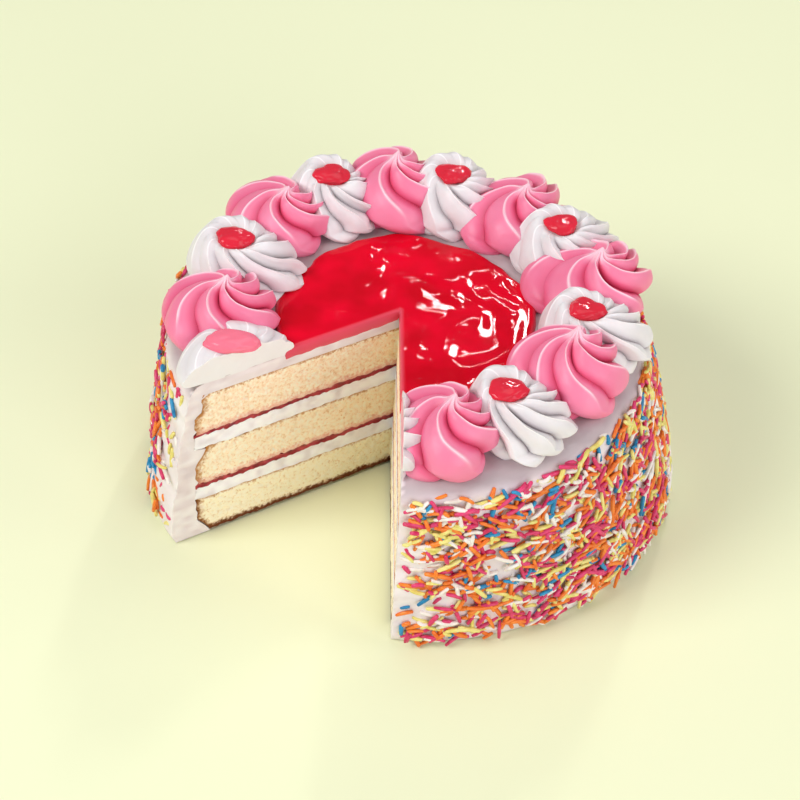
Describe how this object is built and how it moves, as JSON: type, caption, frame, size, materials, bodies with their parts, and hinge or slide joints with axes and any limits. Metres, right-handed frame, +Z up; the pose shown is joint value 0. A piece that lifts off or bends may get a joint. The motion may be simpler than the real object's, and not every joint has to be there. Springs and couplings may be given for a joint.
{
  "type": "strawberry layer cake with a wedge cut out",
  "caption": "Round strawberry layer cake with one wedge cut out, showing sponge, cream and jam, with piped rosettes round a pool of red jelly and sugar sprinkles on its side.",
  "frame": {"origin": "bottom centre of the cake's box, on the surface that the cake stands on", "axes": "+Z up; the right-hand face of the missing wedge runs along -Y, and the wedge lies on its -X side"},
  "size_m": [0.1851, 0.1758, 0.0911],
  "materials": {
    "sponge": "open yellow crumb, matt, with thin browned lines",
    "cream": "whipped cream, soft satin",
    "jam": "strawberry jam, satin",
    "icing": "whipped cream icing smoothed by a palette knife, soft satin",
    "pink_cream": "pink whipped cream piped through a star nozzle, satin",
    "white_cream": "white whipped cream piped through a star nozzle, satin",
    "jelly": "red fruit jelly, glossy and wet",
    "sugar_orange": "sugar strand, satin",
    "sugar_pink": "sugar strand, satin",
    "sugar_yellow": "sugar strand, satin",
    "sugar_white": "sugar strand, satin",
    "sugar_blue": "sugar strand, satin"
  },
  "bodies": {
    "root": {"sponge_bottom": "sponge", "cream_lower": "cream", "jam_lower": "jam", "sponge_middle": "sponge", "cream_upper": "cream", "jam_upper": "jam", "sponge_top": "sponge", "icing": "icing", "rosette_pink_1": "pink_cream", "rosette_pink_2": "pink_cream", "rosette_pink_3": "pink_cream", "rosette_pink_4": "pink_cream", "rosette_pink_5": "pink_cream", "rosette_pink_6": "pink_cream", "rosette_pink_7": "pink_cream", "rosette_white_1": "white_cream", "rosette_white_2": "white_cream", "rosette_white_3": "white_cream", "rosette_white_4": "white_cream", "rosette_white_5": "white_cream", "rosette_white_6": "white_cream", "rosette_white_7": "white_cream", "rosette_white_8_inner": "white_cream", "rosette_white_8_outer": "white_cream", "jelly_drop_1": "jelly", "jelly_drop_2": "jelly", "jelly_drop_3": "jelly", "jelly_drop_4": "jelly", "jelly_drop_5": "jelly", "jelly_drop_6": "jelly", "jelly_drop_7": "jelly", "jelly_pool": "jelly"}
  },
  "joints": []
}
